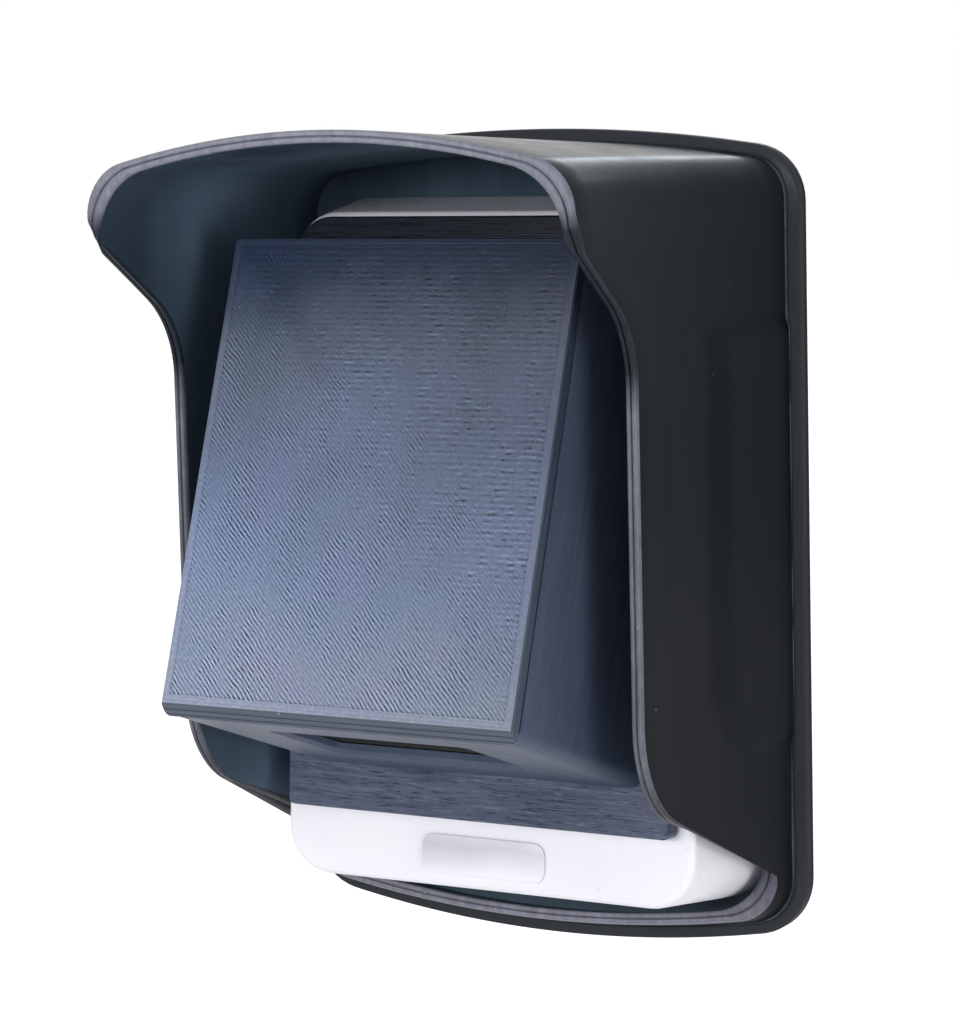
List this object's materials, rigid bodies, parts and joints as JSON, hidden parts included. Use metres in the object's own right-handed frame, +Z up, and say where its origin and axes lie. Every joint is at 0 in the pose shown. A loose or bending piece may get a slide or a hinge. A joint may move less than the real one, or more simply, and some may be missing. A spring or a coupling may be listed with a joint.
{
  "type": "wall code reader",
  "caption": "Wall reader for printed and screen codes: a tilted printed wedge with a downward scan window on a white reader, under a black rain hood.",
  "frame": {"origin": "middle of the rain hood's flat back face, on the wall's surface", "axes": "+X to the right seen from the front, +Y into the wall, +Z up"},
  "size_m": [0.1372, 0.1014, 0.1974],
  "materials": {
    "hood_black": "gloss black moulded plastic",
    "white_plastic": "white moulded plastic",
    "pale_grey": "pale grey plastic",
    "printed_blue": "dark blue printed plastic in fine layers",
    "black_rubber": "soft black rubber",
    "foam": "closed-cell foam",
    "steel": "zinc-plated sheet steel and screws",
    "brass": "plain brass",
    "board_green": "green circuit board",
    "chip_black": "black moulded component",
    "clear_pane": "tinted clear pane",
    "lamp_white": "pale lamp and button plastic",
    "terminal_green": "green terminal plastic",
    "copper_board": "board with copper turns",
    "ribbon": "orange flexible circuit"
  },
  "bodies": {
    "reader": {"rain_hood": "hood_black", "wall_seal": "foam", "cable_grommet": "black_rubber", "wall_bracket": "steel", "bracket_screw_1": "steel", "bracket_screw_2": "steel", "bracket_screw_3": "steel", "bracket_screw_4": "steel", "front_shell": "white_plastic", "rear_base": "pale_grey", "housing_seal": "black_rubber", "housing_screw_1": "steel", "housing_screw_2": "steel", "housing_screw_3": "steel", "housing_screw_4": "steel", "security_screw": "steel", "main_board": "board_green", "board_screw_1": "brass", "board_screw_2": "brass", "board_screw_3": "brass", "board_screw_4": "brass", "processor": "chip_black", "radio_module": "steel", "relay": "chip_black", "link_socket": "white_plastic", "buzzer": "chip_black", "terminal_block": "terminal_green", "antenna_coil": "copper_board", "tamper_switch": "chip_black", "reset_switch": "chip_black", "chin_plaque": "pale_grey", "adapter_plate": "printed_blue", "adhesive_pad": "foam", "wedge_screw_1": "steel", "wedge_screw_2": "steel", "wedge_screw_3": "steel", "wedge_screw_4": "steel", "wedge_housing": "printed_blue", "front_cover": "printed_blue", "window_seal": "black_rubber", "scan_window": "clear_pane", "engine_stand": "steel", "scan_engine": "chip_black", "engine_screw_1": "steel", "engine_screw_2": "steel", "lens_barrel": "chip_black", "lens": "clear_pane", "light_left": "lamp_white", "light_right": "lamp_white", "aimer_lens": "lamp_white", "decoder_board": "board_green", "decoder_chip": "chip_black", "ribbon_cable": "ribbon", "link_cable": "black_rubber"},
    "plunger": {"tamper_plunger": "brass"},
    "reset": {"reset_button": "lamp_white"}
  },
  "joints": [
    {"name": "tamper_slide", "type": "slide", "parent": "reader", "child": "plunger", "axis": [0, -1, 0], "range_m": [0, 0.0012], "stiffness_N_per_m": 200},
    {"name": "reset_slide", "type": "slide", "parent": "reader", "child": "reset", "axis": [0, -1, 0], "range_m": [0, 0.0005], "stiffness_N_per_m": 300}
  ]
}
